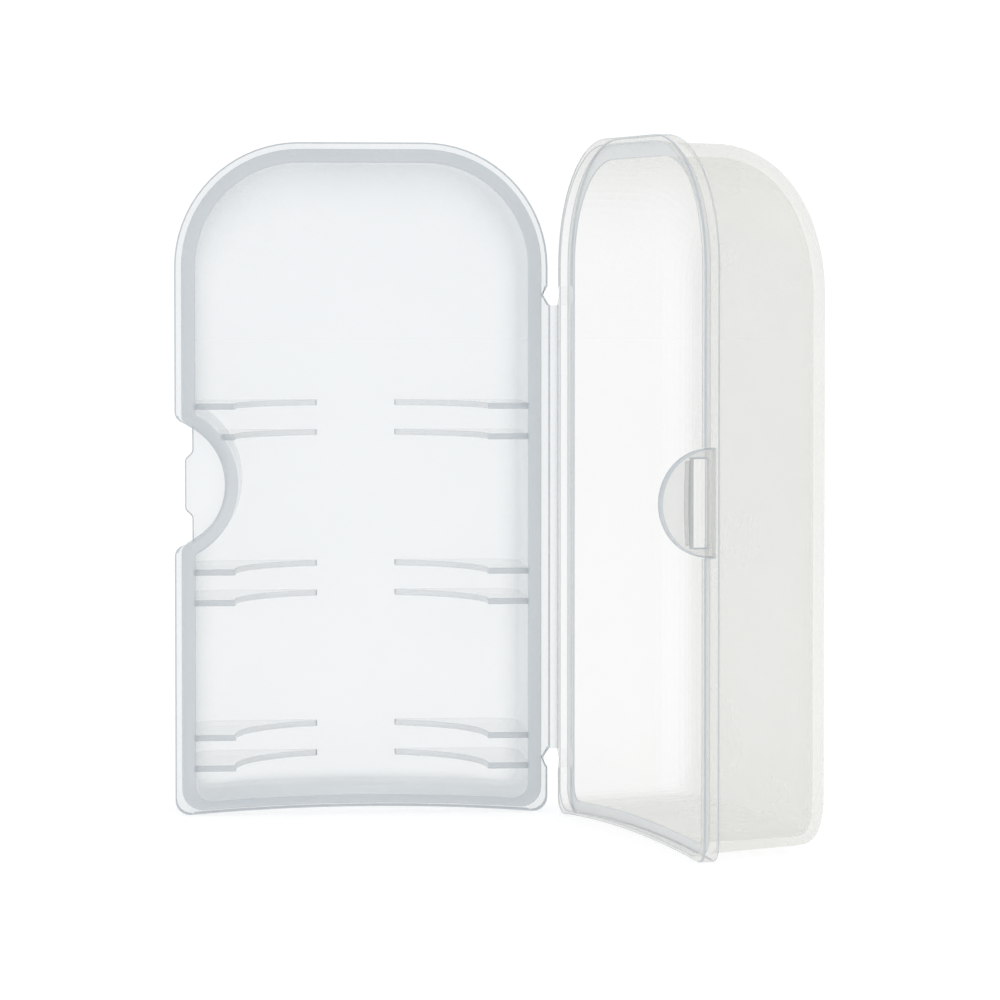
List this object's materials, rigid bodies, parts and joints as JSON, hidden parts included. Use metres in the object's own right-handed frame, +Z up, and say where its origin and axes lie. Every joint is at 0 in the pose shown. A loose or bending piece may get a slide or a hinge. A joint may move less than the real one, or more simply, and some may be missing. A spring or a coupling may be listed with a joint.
{
  "type": "finger toothbrush case",
  "caption": "Hinged translucent storage case for a finger toothbrush, with an arched tray and lid, cradle ribs, a living hinge and a snap latch.",
  "frame": {"origin": "centre of the bounding box's bottom face, with the case standing open on its foot", "axes": "+Z up along the hinge; the tray's mouth faces -Y and its back panel +Y; the lid is hinged on the tray's +X side"},
  "size_m": [0.063, 0.054, 0.0702],
  "materials": {
    "shell_plastic": "natural milky polypropylene, glossy",
    "rim_plastic": "natural milky polypropylene, thicker section",
    "rib_plastic": "natural milky polypropylene, thin web",
    "latch_plastic": "natural milky polypropylene, thin tab",
    "film_plastic": "natural milky polypropylene, flexed film"
  },
  "bodies": {
    "tray": {"tray_shell": "shell_plastic", "tray_rim": "rim_plastic", "tray_catch": "latch_plastic", "tray_hinge_leaf": "rim_plastic", "cradle_rib_1_hinge_side": "rib_plastic", "cradle_rib_1_latch_side": "rib_plastic", "cradle_rib_2_hinge_side": "rib_plastic", "cradle_rib_2_latch_side": "rib_plastic", "cradle_rib_3_hinge_side": "rib_plastic", "cradle_rib_3_latch_side": "rib_plastic", "cradle_rib_4_hinge_side": "rib_plastic", "cradle_rib_4_latch_side": "rib_plastic", "cradle_rib_5_hinge_side": "rib_plastic", "cradle_rib_5_latch_side": "rib_plastic", "cradle_rib_6_hinge_side": "rib_plastic", "cradle_rib_6_latch_side": "rib_plastic", "hinge_film": "film_plastic"},
    "lid": {"lid_shell": "shell_plastic", "lid_rim": "rim_plastic", "lid_hinge_leaf": "rim_plastic"},
    "latch_tongue": {"latch_tongue": "latch_plastic"}
  },
  "joints": [
    {"name": "lid_hinge", "type": "hinge", "parent": "tray", "child": "lid", "pos_m": [0.00822, 0.01243, -0.00013], "axis": [0, 0, 1], "range_deg": [-105.1, 74.9], "deforming": ["hinge_film"]},
    {"name": "latch_flex", "type": "hinge", "parent": "lid", "child": "latch_tongue", "pos_m": [0.01914, -0.0252, 0.03457], "axis": [0, 0, 1], "range_deg": [0, 16], "stiffness_Nm_per_rad": 0.15}
  ]
}
